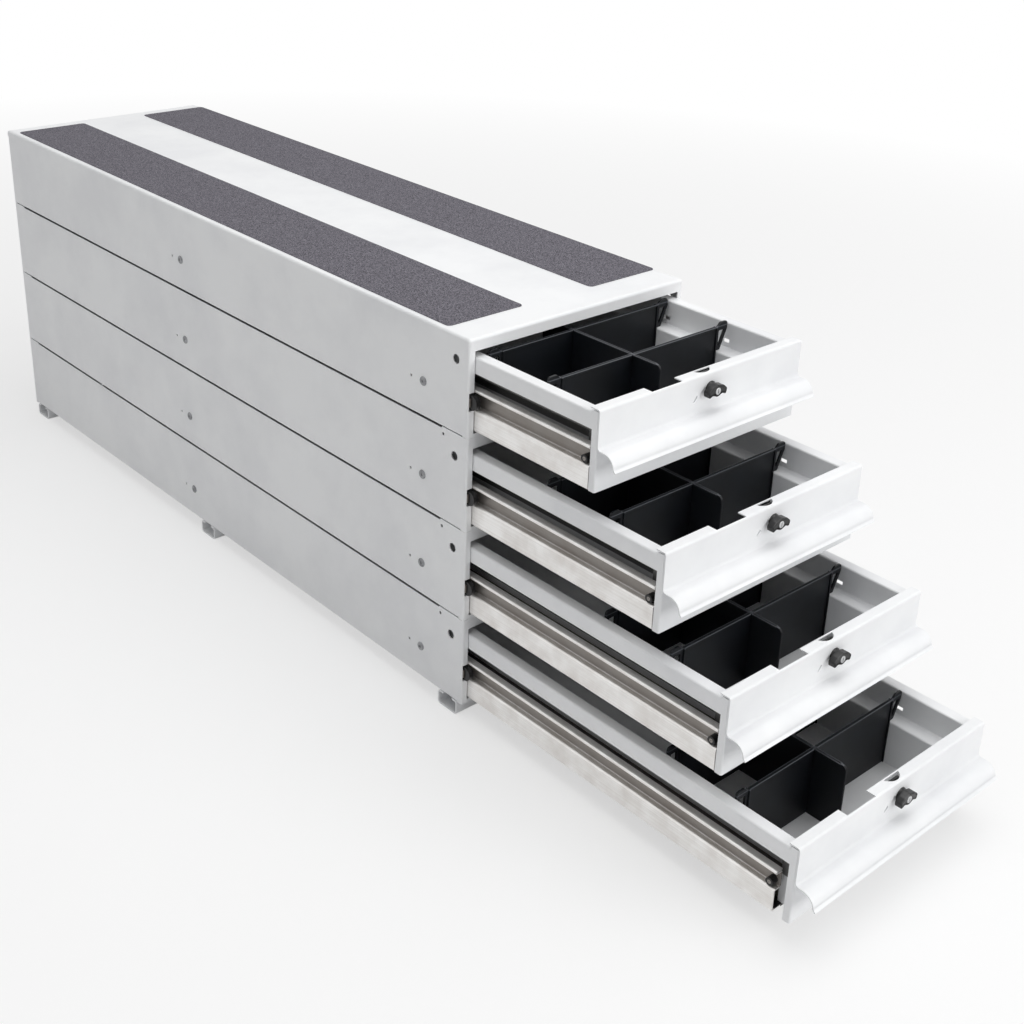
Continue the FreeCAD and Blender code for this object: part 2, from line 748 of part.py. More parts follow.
# Latch: a winged thumb turn whose crank pin lifts the bolt through the front's top flange
def latch_knob(tier):
    face = face_y(tier)
    z = tier_base(tier) + latch_up
    gap = cam_gap
    cam_y = face + front_sheet + tray_sheet + gap
    pin_end = face + bolt_back + bolt_thickness - gap
    collar = Part.makeCone(
        latch_collar_radius, latch_hub_radius, latch_collar_height, Vec(latch_x, face - gap, z), -Y_AXIS
    )
    hub_y = face - gap - latch_collar_height
    hub = pin_y(latch_hub_radius, hub_y - latch_hub_height, hub_y, latch_x, z)
    wing_y = hub_y - latch_hub_height
    shape = [
        (0, wing_top),
        (wing_half_length, wing_tip_high),
        (wing_half_length - wing_round, wing_tip_low),
        (wing_half_length / 2, wing_notch),
        (0, -latch_hub_radius - wing_round),
        (-wing_half_length / 2, wing_notch),
        (wing_round - wing_half_length, wing_tip_low),
        (-wing_half_length, wing_tip_high),
    ]
    wing = along_y(polygon([(latch_x + x, z + up) for x, up in shape]), wing_y, wing_y + wing_height)
    ends = [e for e in wing.Edges if e.BoundBox.YLength > wing_height / 2]
    wing = wing.makeFillet(wing_round, ends)
    barrel = pin_y(latch_barrel_radius, face - 2 * gap, cam_y + gap, latch_x, z)
    angle = math.radians(crank_angle)
    pin_x0 = latch_x - crank_radius * math.cos(angle)
    pin_z = z - crank_radius * math.sin(angle)
    cam = joined([
        pin_y(latch_barrel_radius, cam_y, cam_y + cam_thickness, latch_x, z),
        pin_y(2 * crank_pin_radius, cam_y, cam_y + cam_thickness, pin_x0, pin_z),
    ])
    crank_pin = pin_y(crank_pin_radius, cam_y, pin_end, pin_x0, pin_z)
    knob = joined([collar, hub, wing, barrel, cam, crank_pin])
    slot = box(
        latch_x - key_slot_width / 2,
        latch_x + key_slot_width / 2,
        wing_y,
        wing_y + cam_thickness,
        z - key_slot_length / 2,
        z + key_slot_length / 2,
    )
    return knob.cut(slot)


def latch_bolt(tier):
    base = tier_base(tier)
    y0 = face_y(tier) + bolt_back
    y1 = y0 + bolt_thickness
    bolt = box(bolt_left, bolt_left + bolt_width, y0, y1, base + bolt_bottom_up, base + bolt_top_up)
    ramp = [e for e in bolt.Edges if e.BoundBox.ZMin > base + bolt_top_up - 1 and e.BoundBox.YMin > y1 - 1]
    bolt = bolt.makeChamfer(bolt_thickness / 2, ramp)
    angle = math.radians(crank_angle)
    reach = crank_radius * math.cos(angle)
    x0 = latch_x - crank_radius - crank_pin_radius - bolt_clearance
    x1 = latch_x - reach + crank_pin_radius + bolt_clearance
    z = base + latch_up - crank_radius * math.sin(angle)
    room = crank_pin_radius + bolt_clearance
    return bolt.cut(box(x0, x1, y0, y1, z - room, z + room))


def main():
    os.makedirs("parts", exist_ok=True)
    tiers = range(1, tier_count + 1)
    save("top_plate", top_plate())
    save("rear_panel", rear_panel())
    save("front_foot", foot(mouth_y + foot_margin))
    save("middle_foot", foot(middle_foot_offset - foot_width / 2))
    save("rear_foot", foot(rear_y - foot_margin - foot_width))
    save("left_grip_strip", grip_strip(-half_width + left_strip_margin))
    save("right_grip_strip", grip_strip(half_width - right_strip_margin - strip_width))
    blocks, screws = [], []
    for tier in tiers:
        save("tier_shell_%d" % tier, tier_shell(tier))
        if tier < tier_count:
            save("cross_rail_%d" % tier, cross_rail(tier))
        save("fixed_rails_%d" % tier, both_sides(cabinet_member(tier)))
        blocks += [piece for block in guide_blocks(tier) for piece in both_sides(block)]
        screws += [piece for screw in slide_screws(tier) for piece in both_sides(screw)]
        slide = middle_member(tier)
        save("right_slide_%d" % tier, slide)
        save("left_slide_%d" % tier, mirrored(slide))
        glides = slide_glides(tier)
        save("slide_glides_%d" % tier, [piece for glide in glides for piece in both_sides(glide)])
        save("drawer_tray_%d" % tier, drawer_tray(tier))
        save("drawer_front_%d" % tier, drawer_front(tier))
        runners = drawer_member(tier)
        save("drawer_runners_%d" % tier, [piece for runner in runners for piece in both_sides(runner)])
        save("cross_dividers_%d" % tier, [cross_divider(tier, number) for number in range(2)])
        save("long_divider_%d" % tier, long_divider(tier))
        save("latch_knob_%d" % tier, latch_knob(tier))
        save("latch_bolt_%d" % tier, latch_bolt(tier))
    save("guide_blocks", blocks)
    save("slide_screws", screws)


main()
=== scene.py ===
import bpy
import bmesh
import json
import math
from mathutils import Matrix, Vector


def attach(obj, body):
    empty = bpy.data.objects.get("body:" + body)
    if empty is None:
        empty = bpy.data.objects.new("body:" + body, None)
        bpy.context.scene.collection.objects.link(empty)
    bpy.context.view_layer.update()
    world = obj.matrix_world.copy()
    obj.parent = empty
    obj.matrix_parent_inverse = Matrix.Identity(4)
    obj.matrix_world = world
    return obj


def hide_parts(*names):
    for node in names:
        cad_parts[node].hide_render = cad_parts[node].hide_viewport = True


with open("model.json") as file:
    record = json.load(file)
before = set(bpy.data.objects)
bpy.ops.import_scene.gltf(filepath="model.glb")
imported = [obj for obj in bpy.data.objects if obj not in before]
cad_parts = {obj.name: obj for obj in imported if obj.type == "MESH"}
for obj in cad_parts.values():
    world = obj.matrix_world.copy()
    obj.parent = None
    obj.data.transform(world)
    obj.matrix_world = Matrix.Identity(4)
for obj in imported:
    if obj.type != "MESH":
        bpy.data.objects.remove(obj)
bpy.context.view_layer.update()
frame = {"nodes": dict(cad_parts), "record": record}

millimetre = 0.001
tiers = (1, 2, 3, 4)
print("frame loaded:", len(frame["nodes"]), "nodes")

# Places shared by materials and detail pieces, in millimetres; lags are how far slides stay behind drawers
carcass = {
    "foot": 21.0,
    "pitch": 126.0,
    "mouth": -610.0,
    "openings": (204.0, 313.0, 417.0, 526.0),
    "lags": (0.0, 0.0, 0.0, 13.0),
}
# The span that most values of a noise texture lie in
noiseSpan = (0.3, 0.7)
# Sockets by number, on nodes that give several sockets the same name
mixPlain, mixOther, mixResult = 6, 7, 2
shaderPlain, shaderOther = 1, 2
randomMost, randomValue = 3, 1


def srgb(text):
    channels = [int(text[i:i + 2], 16) / 255 for i in (1, 3, 5)]
    return [c / 12.92 if c <= 0.04045 else ((c + 0.055) / 1.055) ** 2.4 for c in channels] + [1.0]


def addNode(tree, kind, values=None, links=None):
    node = tree.nodes.new(kind)
    for name, value in (values or {}).items():
        if name in node.inputs:
            node.inputs[name].default_value = value
        else:
            setattr(node, name, value)
    for name, source in (links or {}).items():
        tree.links.new(source, node.inputs[name])
    return node


def mathValue(tree, operation, *terms):
    # each term is a number or the output that feeds it
    node = addNode(tree, "ShaderNodeMath", {"operation": operation})
    for socket, term in zip(node.inputs, terms):
        if isinstance(term, float):
            socket.default_value = term
        else:
            tree.links.new(term, socket)
    return node.outputs["Value"]


def mapRange(tree, source, span, result):
    values = {"From Min": span[0], "From Max": span[1], "To Min": result[0], "To Max": result[1]}
    return addNode(tree, "ShaderNodeMapRange", values, {"Value": source}).outputs["Result"]


def mixColour(tree, share, plain, text):
    mixed = addNode(tree, "ShaderNodeMix", {"data_type": "RGBA"}, {"Factor": share})
    tree.links.new(plain, mixed.inputs[mixPlain])
    mixed.inputs[mixOther].default_value = srgb(text)
    return mixed.outputs[mixResult]


def rampColour(tree, source, stops):
    # stops are (place on the ramp, colour)
    ramp = addNode(tree, "ShaderNodeValToRGB", None, {"Fac": source})
    for element, (position, text) in zip(ramp.color_ramp.elements, stops):
        element.position = position
        element.color = srgb(text)
    return ramp.outputs["Color"]


def objectSplit(tree):
    place = addNode(tree, "ShaderNodeTexCoord")
    return addNode(tree, "ShaderNodeSeparateXYZ", None, {"Vector": place.outputs["Object"]}).outputs


def objectPoint(tree, stretch=(1, 1, 1)):
    place = addNode(tree, "ShaderNodeTexCoord")
    mapping = addNode(tree, "ShaderNodeMapping", {"Scale": stretch}, {"Vector": place.outputs["Object"]})
    return mapping.outputs["Vector"]


def perMetre(size):
    return 1 / (size * millimetre)


def noiseValue(tree, point, scale, detail, roughness=0.5):
    values = {"Scale": scale, "Detail": detail, "Roughness": roughness}
    return addNode(tree, "ShaderNodeTexNoise", values, {"Vector": point}).outputs["Fac"]


def addBump(tree, shader, height, look):
    values = {"Strength": look["bump"], "Distance": look["bumpHeight"] * millimetre}
    bump = addNode(tree, "ShaderNodeBump", values, {"Height": height})
    tree.links.new(bump.outputs["Normal"], shader.inputs["Normal"])


def bandTint(tree, plain, band):
    # tints a band of heights that returns in each tier; where a widest reach is given, only faces that
    # look outwards and lie within that reach of the middle
    if not band:
        return plain
    parts = objectSplit(tree)
    lifted = mathValue(tree, "SUBTRACT", parts["Z"], carcass["foot"] * millimetre)
    height = mathValue(tree, "FLOORED_MODULO", lifted, carcass["pitch"] * millimetre)
    low, high = (v * millimetre for v in band["heights"])
    soft = band["soft"] * millimetre
    rising = mapRange(tree, height, (low - soft, low), (0.0, 1.0))
    falling = mapRange(tree, height, (high, high + soft), (band["amount"], 0.0))
    share = mathValue(tree, "MULTIPLY", rising, falling)
    if "widest" in band:
        facing = addNode(tree, "ShaderNodeNewGeometry")
        aimed = addNode(tree, "ShaderNodeSeparateXYZ", None, {"Vector": facing.outputs["True Normal"]})
        product = mathValue(tree, "MULTIPLY", aimed.outputs["X"], parts["X"])
        outside = mathValue(tree, "GREATER_THAN", product, 0.0)
        aside = mathValue(tree, "ABSOLUTE", parts["X"])
        near = mathValue(tree, "LESS_THAN", aside, band["widest"] * millimetre)
        for test in (outside, near):
            share = mathValue(tree, "MULTIPLY", share, test)
    return mixColour(tree, share, plain, band["tint"])


def newMaterial(name, settings):
    made = bpy.data.materials.new(name)
    made.use_nodes = True
    made.node_tree.nodes.clear()
    shader = addNode(made.node_tree, "ShaderNodeBsdfPrincipled", settings)
    addNode(made.node_tree, "ShaderNodeOutputMaterial", None, {"Surface": shader.outputs["BSDF"]})
    return made, made.node_tree, shader


# Powder coat: slight orange peel, faint cloudiness, fine dust in the sheen
powderCoat = {
    "stops": ((0.35, "#e7e8ea"), (0.6, "#f0f1f2")),
    "shine": 0.42,
    "cloud": 140,
    "gritSize": 0.45,
    "sheen": (0.33, 0.45),
    "peel": 1.6,
    "bump": 0.6,
    "bumpHeight": 0.012,
    "band": None,
}
# The trays' recessed outer walls, behind the slides, are darkened with painted shade
trayCoat = {
    **powderCoat,
    "band": {"heights": (48.0, 80.5), "soft": 1.2, "amount": 0.85, "tint": "#35322f", "widest": 160.0},
}
screwCoat = {
    **powderCoat, "stops": ((0.35, "#808184"), (0.6, "#a6a7aa")), "cloud": 6, "peel": 1.2, "bumpHeight": 0.01,
    "gritSize": 0.4,
}


def paintMaterial(name, look):
    made, tree, shader = newMaterial(name, {"Specular IOR Level": look["shine"]})
    point = objectPoint(tree)
    cloud = noiseValue(tree, point, perMetre(look["cloud"]), detail=5.0, roughness=0.6)
    tinted = bandTint(tree, rampColour(tree, cloud, look["stops"]), look["band"])
    tree.links.new(tinted, shader.inputs["Base Color"])
    grit = noiseValue(tree, point, perMetre(look["gritSize"]), detail=2.0)
    tree.links.new(mapRange(tree, grit, noiseSpan, look["sheen"]), shader.inputs["Roughness"])
    addBump(tree, shader, noiseValue(tree, point, perMetre(look["peel"]), detail=1.0), look)
    return made


# Zinc plate: rolling streaks along the rail, patchy spangle, painted shade in the slides' grooves
zincPlate = {
    "stops": ((0.12, "#e2deda"), (0.36, "#fbfaf8")),
    "streak": (0.9, 260.0, 0.9),
    "patch": 26,
    "metallic": 0.55,
    "gloss": (0.3, 0.48),
    "bump": 0.35,
    "bumpHeight": 0.01,
    "band": {"heights": (38.0, 56.0), "soft": 1.5, "amount": 0.8, "tint": "#5f564e"},
}
# Runners and fixed rails: the zinc is painted dark, as painted shade for the recess behind the trays' rims
shadeDarkZinc = {
    **zincPlate, "stops": ((0.12, "#4a4540"), (0.36, "#6b655e")), "patch": 18, "metallic": 0.6, "band": None,
}
chromePlate = {
    **zincPlate, "stops": ((0.12, "#b9babb"), (0.36, "#d9d9da")), "streak": (0.3, 0.3, 0.3), "patch": 8,
    "metallic": 0.95, "band": None,
}


def zincMaterial(name, look):
    made, tree, shader = newMaterial(name, {"Metallic": look["metallic"]})
    streakPoint = objectPoint(tree, [perMetre(length) for length in look["streak"]])
    streak = noiseValue(tree, streakPoint, 1.0, detail=4.0, roughness=0.65)
    patch = noiseValue(tree, objectPoint(tree), perMetre(look["patch"]), detail=6.0)
    mottle = mathValue(tree, "MULTIPLY", streak, patch)
    tinted = bandTint(tree, rampColour(tree, mottle, look["stops"]), look["band"])
    tree.links.new(tinted, shader.inputs["Base Color"])
    tree.links.new(mapRange(tree, streak, noiseSpan, look["gloss"]), shader.inputs["Roughness"])
    addBump(tree, shader, streak, look)
    return made


# Moulded plastic: fine spark-eroded grain with worn, slightly paler patches, and a painted highlight along
# the top edges
mouldedPlastic = {
    "stops": ((0.4, "#05070b"), (0.72, "#0c1016")), "patch": 40, "roughness": 0.45, "shine": 0.3,
    "grain": 0.35, "bump": 0.5, "bumpHeight": 0.03,
    "band": {"heights": (101.6, 102.4), "soft": 0.5, "amount": 0.55, "tint": "#6d7076"},
}
nylon = {
    "stops": ((0.4, "#0a0a0b"), (0.72, "#161617")), "patch": 12, "roughness": 0.42, "shine": 0.4,
    "grain": 0.5, "bump": 0.5, "bumpHeight": 0.02, "band": None,
}
latchPlastic = {
    "stops": ((0.4, "#080809"), (0.72, "#101011")), "patch": 9, "roughness": 0.3, "shine": 0.45,
    "grain": 0.3, "bump": 0.5, "bumpHeight": 0.01, "band": None,
}


def evenSurface(look):
    return {"Roughness": look["roughness"], "Specular IOR Level": look["shine"]}


def plasticMaterial(name, look):
    made, tree, shader = newMaterial(name, evenSurface(look))
    point = objectPoint(tree)
    patch = noiseValue(tree, point, perMetre(look["patch"]), detail=7.0, roughness=0.6)
    tinted = bandTint(tree, rampColour(tree, patch, look["stops"]), look["band"])
    tree.links.new(tinted, shader.inputs["Base Color"])
    addBump(tree, shader, noiseValue(tree, point, perMetre(look["grain"]), detail=3.0), look)
    return made


# Anti-slip tape: coarse mineral grains, a few of them glinting, on a dark film
gripTape = {
    "stops": ((0.42, "#333138"), (0.62, "#85828b")), "grain": 1.6, "roughness": 0.85, "shine": 0.35,
    "glint": "#c9c8ce", "glintGrain": 1.2, "glintSpan": (0.86, 0.97), "glintShare": 0.4,
    "bump": 0.8, "bumpHeight": 0.35,
}


def gripMaterial(name, look):
    made, tree, shader = newMaterial(name, evenSurface(look))
    point = objectPoint(tree)
    grain = noiseValue(tree, point, perMetre(look["grain"]), detail=6.0, roughness=0.7)
    chips = addNode(tree, "ShaderNodeTexVoronoi", {"Scale": perMetre(look["glintGrain"])}, {"Vector": point})
    pick = mapRange(tree, chips.outputs["Color"], look["glintSpan"], (0.0, look["glintShare"]))
    mixed = mixColour(tree, pick, rampColour(tree, grain, look["stops"]), look["glint"])
    tree.links.new(mixed, shader.inputs["Base Color"])
    addBump(tree, shader, grain, look)
    return made


whitePaint = paintMaterial("whitePowderCoat", powderCoat)
trayPaint = paintMaterial("whitePowderCoatTray", trayCoat)
zinc = zincMaterial("dullZincPlate", zincPlate)
darkZinc = zincMaterial("shadeDarkZincPlate", shadeDarkZinc)
chrome = zincMaterial("satinChromePlate", chromePlate)
screwPaint = paintMaterial("greyCoatedScrew", screwCoat)
dividerPlastic = plasticMaterial("blackDividerPlastic", mouldedPlastic)
blackNylon = plasticMaterial("blackNylon", nylon)
latchBlack = plasticMaterial("satinBlackLatch", latchPlastic)
grip = gripMaterial("mineralGripTape", gripTape)
slotMaterials = {
    "white_paint": whitePaint,
    "zinc_plate": zinc,
    "black_nylon": blackNylon,
    "black_plastic": dividerPlastic,
    "grip_tape": grip,
    "latch_black": latchBlack,
}
nodeMaterials = {"drawer_runners": darkZinc, "fixed_rails": darkZinc, "drawer_tray": trayPaint}
for part in frame["record"]["subparts"]:
    held = frame["nodes"][part["node"]]
    held.data.materials.clear()
    ownMaterial = nodeMaterials.get(part["node"].rpartition("_")[0], slotMaterials[part["material_slot"]])
    held.data.materials.append(ownMaterial)
print("materials set")


def tierBase(tier):
    return carcass["foot"] + (len(tiers) - tier) * carcass["pitch"]


def facePlane(tier):
    return carcass["mouth"] - carcass["openings"][tier - 1]


# Detail pieces are built in millimetres; points closer than this are one, and bends above this are edges
weldReach = 0.001
sharpBend = math.radians(60)


def bakeMesh(name, bm):
    # millimetres become metres, faces point outwards
    bmesh.ops.remove_doubles(bm, verts=bm.verts, dist=weldReach)
    bmesh.ops.recalc_face_normals(bm, faces=bm.faces)
    bmesh.ops.scale(bm, vec=(millimetre,) * 3, verts=bm.verts)
    mesh = bpy.data.meshes.new(name)
    bm.to_mesh(mesh)
    bm.free()
    return mesh


def placePiece(name, mesh, material, body, replaced=()):
    mesh.materials.clear()
    mesh.materials.append(material)
    piece = bpy.data.objects.new(name, mesh)
    bpy.context.scene.collection.objects.link(piece)
    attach(piece, body)
    if replaced:
        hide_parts(*replaced)


def pickType(found, kind):
    return [item for item in found["geom"] if isinstance(item, kind)]


def circle(reach, steps):
    angles = [2 * math.pi * step / steps for step in range(steps)]
    return [(reach * math.cos(angle), reach * math.sin(angle)) for angle in angles]


def addLoop(bm, points):
    corners = [bm.verts.new(point) for point in points]
    return [bm.edges.new((corners[i], corners[(i + 1) % len(corners)])) for i in range(len(corners))]


def sinkHole(bm, rim, hole, push):
    # a face between two outlines whose hole becomes a recess; gives the recess's lower corners and edges
    outer, inner = addLoop(bm, rim), addLoop(bm, hole)
    bmesh.ops.triangle_fill(bm, edges=outer + inner, use_beauty=True)
    walls = bmesh.ops.extrude_edge_only(bm, edges=inner)
    low = pickType(walls, bmesh.types.BMVert)
    bmesh.ops.translate(bm, vec=push, verts=low)
    return low, [edge for edge in pickType(walls, bmesh.types.BMEdge) if all(v in low for v in edge.verts)]


def takeIn(bm, part, place):
    # place turns (along, up, through) into a point
    copies = {vert: bm.verts.new(place(*vert.co)) for vert in part.verts}
    for face in part.faces:
        bm.faces.new([copies[vert] for vert in face.verts])
    part.free()


def pushPlate(bm, loops, half, place, rim):
    # flat outlines, the first outside and the rest holes, pushed out to a plate with eased edges
    part = bmesh.new()
    edges = [edge for loop in loops for edge in addLoop(part, [(u, v, -half) for u, v in loop])]
    filled = bmesh.ops.triangle_fill(part, edges=edges, use_beauty=True)
    pushed = bmesh.ops.extrude_face_region(part, geom=pickType(filled, bmesh.types.BMFace))
    bmesh.ops.translate(part, vec=(0, 0, 2 * half), verts=pickType(pushed, bmesh.types.BMVert))
    bmesh.ops.recalc_face_normals(part, faces=part.faces)
    sharp = [e for e in part.edges if e.is_manifold and e.calc_face_angle(0) > sharpBend]
    rims = [e for e in sharp if abs(e.verts[0].co.z - e.verts[1].co.z) < weldReach]
    bmesh.ops.bevel(part, geom=rims, offset=rim, segments=2, profile=0.5, affect="EDGES")
    takeIn(bm, part, place)


def roundedBar(bm, low, high, rim, place):
    # a moulded bar between two corners, given as (along, up, through)
    part = bmesh.new()
    bmesh.ops.create_cube(part, size=1.0)
    size = [b - a for a, b in zip(low, high)]
    middle = [(a + b) / 2 for a, b in zip(low, high)]
    bmesh.ops.scale(part, vec=size, verts=part.verts)
    bmesh.ops.translate(part, vec=middle, verts=part.verts)
    bmesh.ops.bevel(part, geom=part.edges[:], offset=rim, segments=3, profile=0.5, affect="EDGES")
    takeIn(bm, part, place)


def turned(bm, profile, centre, steps):
    # rings of (reach from an axis along Y, place on it), closed at both ends where the reach is zero
    rings = []
    for reach, along in profile:
        spots = circle(reach, steps if reach else 1)
        rings.append([bm.verts.new(Vector((u, along, v)) + Vector(centre)) for u, v in spots])
    for low, high in zip(rings, rings[1:]):
        for step in range(steps):
            after = (step + 1) % steps
            below = [low[i % len(low)] for i in (step, after)]
            above = [high[i % len(high)] for i in (after, step)]
            corners = list(dict.fromkeys(below + above))
            if len(corners) > 2:
                bm.faces.new(corners).smooth = True


def disc(reach, start, end):
    # the profile of a plain closed disc, for turned
    return [(0, start), (reach, start), (reach, end), (0, end)]


def roundedLoop(points, radii, steps=4):
    # corners of an outline turned into quadratic curves that leave it where an arc of the radius would
    made = []
    count = len(points)
    for i, (corner, radius) in enumerate(zip(points, radii)):
        before, after = Vector(points[i - 1]), Vector(points[(i + 1) % count])
        here = Vector(corner)
        if not radius:
            made.append(here)
            continue
        into, out = (here - before).normalized(), (after - here).normalized()
        bend = into.angle_signed(out, 0.0)
        reach = abs(radius * math.tan(bend / 2))
        start, end = here - into * reach, here + out * reach
        for step in range(steps + 1):
            t = step / steps
            made.append((start * (1 - t) + here * t) * (1 - t) + (here * (1 - t) + end * t) * t)
    return made


def mirrored(points):
    return [(-u, v) for u, v in reversed(points)]


# Latch knobs: black wings that droop round the hub, ribbed for the thumb, with a chromed key barrel;
# barrel, crankPlate and pin are discs, given as (reach, start, end)
latchKnob = {
    "centre": (8.0, 87.0),
    "wing": [(0, 8.2), (9.2, 6.0), (15.8, 0.6), (14.2, -7.0), (8.0, -3.8), (0, -7.4),
             (-8.0, -3.8), (-14.2, -7.0), (-15.8, 0.6), (-9.2, 6.0)],
    "round": [7, 7, 3.2, 2.4, 4, 6, 4, 2.4, 3.2, 7],
    "wingBack": -3.6,
    "wingDepth": 8.0,
    "ribs": [(0.6, 0.5), (0.5, -0.7), (0.6, 0.0), (0.4, 0.5)],
    "collar": [(0, -0.4), (8.6, -0.4), (8.6, -1.2), (8.1, -2.0), (6.8, -3.6), (6.6, -10.4), (0, -10.4)],
    "barrel": (8.8, 3.5, -0.8),
    "key": [(3.9, -9.0), (4.2, -12.0), (3.9, -12.35)],
    "keySlot": (0.6, 2.7),
    "keyDepth": 2.0,
    "crank": (-7.794, -4.5),
    "crankPlate": (4.0, 3.1, 5.1),
    "pin": (2.0, 3.1, 10.2),
    "pinSteps": 20,
    "steps": 40,
}


def knobCentre(tier, look):
    x, up = look["centre"]
    return x, facePlane(tier), tierBase(tier) + up


def knobPiece(tier, look):
    centre = x, face, z = knobCentre(tier, look)
    bm = bmesh.new()
    outline = [(x + p.x, face + look["wingBack"], z + p.y) for p in roundedLoop(look["wing"], look["round"])]
    front = bm.faces.new([bm.verts.new(point) for point in outline])
    cap = pickType(bmesh.ops.extrude_face_region(bm, geom=[front]), bmesh.types.BMFace)[0]
    bmesh.ops.translate(bm, vec=(0, -look["wingDepth"], 0), verts=cap.verts)
    for width, rise in look["ribs"]:
        bmesh.ops.recalc_face_normals(bm, faces=bm.faces)
        bmesh.ops.inset_region(bm, faces=[cap], thickness=width, depth=rise, use_even_offset=True)
    turned(bm, look["collar"], centre, look["steps"])
    turned(bm, disc(*look["barrel"]), centre, look["steps"])
    spot = (x + look["crank"][0], face, z + look["crank"][1])
    turned(bm, disc(*look["crankPlate"]), spot, look["steps"])
    turned(bm, disc(look["barrel"][0], *look["crankPlate"][1:]), centre, look["steps"])
    turned(bm, disc(*look["pin"]), spot, look["pinSteps"])
    name = "knobWing_%d" % tier
    node = "latch_knob_%d" % tier
    placePiece(name, bakeMesh(name, bm), latchBlack, node, [node])


def keyPiece(tier, look):
    centre = x, face, z = knobCentre(tier, look)
    reach, top = look["key"][-1]
    half, tall = look["keySlot"]
    rings = circle(reach, look["steps"]), ((-half, -tall), (half, -tall), (half, tall), (-half, tall))
    rim, hole = ([(x + u, face + top, z + v) for u, v in ring] for ring in rings)
    bm = bmesh.new()
    bm.faces.new(sinkHole(bm, rim, hole, (0, look["keyDepth"], 0))[0])
    bmesh.ops.recalc_face_normals(bm, faces=bm.faces)
    turned(bm, [(0, look["key"][0][1])] + look["key"], centre, look["steps"])
    name = "keyBarrel_%d" % tier
    placePiece(name, bakeMesh(name, bm), chrome, "latch_knob_%d" % tier)


for tier in tiers:
    knobPiece(tier, latchKnob)
    keyPiece(tier, latchKnob)
print("latch knobs made")


# Dividers: moulded plates with a beaded top edge; the cross plates have end flanges and open hooks
dividerShape = {
    "thickness": 3.0,
    "lower": 133.1,
    "floor": 11.6,
    "top": 102.0,
    "hook": [(133.1, 70.4), (141.6, 70.4), (152.6, 97.0), (152.6, 107.0), (139.6, 107.0), (134.6, 102.0)],
    "hookRound": [0, 1.5, 4.0, 4.5, 4.5, 3.0],
    "hookHole": [(137.2, 96.4), (147.6, 96.4), (146.8, 93.6), (139.0, 76.0), (137.2, 76.0)],
    "holeRound": [1.5, 1.0, 1.0, 1.0, 0.8],
    "crossSteps": 3,
    "holeSteps": 2,
    "footRound": 1.0,
    "flange": (131.2, 3.2),
    "bead": (2.4, 2.3),
    "crossBeadGap": 0.6,
    "longBeadGap": 0.5,
    "rim": 0.45,
    "slotHalf": 1.9,
    "crossSlot": 56.4,
    "crossSlotRound": [0.6, 0.4, 0.4, 0.6],
    "longSlot": 57.2,
    "longSlotRound": 0.5,
    "crossBack": (102.0, 203.0),
    "longX": -16.0,
    "longFront": 56.0,
    "longLength": 200.0,
    "longRound": 8.0,
}


def acrossTray(y, base):
    return lambda along, up, through: (along, y + through, base + up)


def alongTray(x, base):
    return lambda along, up, through: (x + through, along, base + up)


def topBead(bm, start, end, place, look):
    deep, half = look["bead"]
    roundedBar(bm, (start, look["top"] - deep, -half), (end, look["top"], half), look["rim"], place)


def crossDividerPiece(tier, look):
    bm = bmesh.new()
    lower, floor, top = look["lower"], look["floor"], look["top"]
    slotLow, slotHigh = look["longX"] - look["slotHalf"], look["longX"] + look["slotHalf"]
    right = [(lower, floor)] + look["hook"]
    rightRound = [look["footRound"]] + look["hookRound"]
    cut = [(slotHigh, top), (slotHigh, look["crossSlot"]), (slotLow, look["crossSlot"]), (slotLow, top)]
    outline = right + cut + mirrored(right)
    radii = rightRound + look["crossSlotRound"] + rightRound[::-1]
    loops = [
        roundedLoop(outline, radii, look["crossSteps"]),
        roundedLoop(look["hookHole"], look["holeRound"], look["holeSteps"]),
        roundedLoop(mirrored(look["hookHole"]), look["holeRound"][::-1], look["holeSteps"]),
    ]
    flangeIn, flangeHalf = look["flange"]
    for back in look["crossBack"]:
        place = acrossTray(facePlane(tier) + back, tierBase(tier))
        pushPlate(bm, loops, look["thickness"] / 2, place, look["rim"])
        topBead(bm, -lower, slotLow - look["crossBeadGap"], place, look)
        topBead(bm, slotHigh + look["crossBeadGap"], lower, place, look)
        for start, end in ((-lower, -flangeIn), (flangeIn, lower)):
            roundedBar(bm, (start, floor, -flangeHalf), (end, top, flangeHalf), look["rim"], place)
    name = "crossDividers_%d" % tier
    node = "cross_dividers_%d" % tier
    placePiece(name, bakeMesh(name, bm), dividerPlastic, "drawer_%d" % tier, [node])


def longDividerPiece(tier, look):
    bm = bmesh.new()
    floor, top = look["floor"], look["top"]
    y0 = facePlane(tier) + look["longFront"]
    y1 = y0 + look["longLength"]
    gap = look["bead"][1] + look["longBeadGap"]
    cuts, stops = [], [y0 + look["longRound"]]
    for back in look["crossBack"]:
        y = facePlane(tier) + back
        a, b = y - look["slotHalf"], y + look["slotHalf"]
        cuts += [(a, floor), (a, look["longSlot"]), (b, look["longSlot"]), (b, floor)]
        stops += [y - gap, y + gap]
    stops.append(y1 - look["longRound"])
    outline = [(y0, floor)] + cuts + [(y1, floor), (y1, top), (y0, top)]
    foot, corner = look["footRound"], look["longRound"]
    radii = [foot] + [look["longSlotRound"]] * len(cuts) + [foot, corner, corner]
    place = alongTray(look["longX"], tierBase(tier))
    pushPlate(bm, [roundedLoop(outline, radii)], look["thickness"] / 2, place, look["rim"])
    for start, end in zip(stops[::2], stops[1::2]):
        topBead(bm, start, end, place, look)
    name = "longDivider_%d" % tier
    node = "long_divider_%d" % tier
    placePiece(name, bakeMesh(name, bm), dividerPlastic, "drawer_%d" % tier, [node])


for tier in tiers:
    crossDividerPiece(tier, dividerShape)
    longDividerPiece(tier, dividerShape)
print("dividers made")


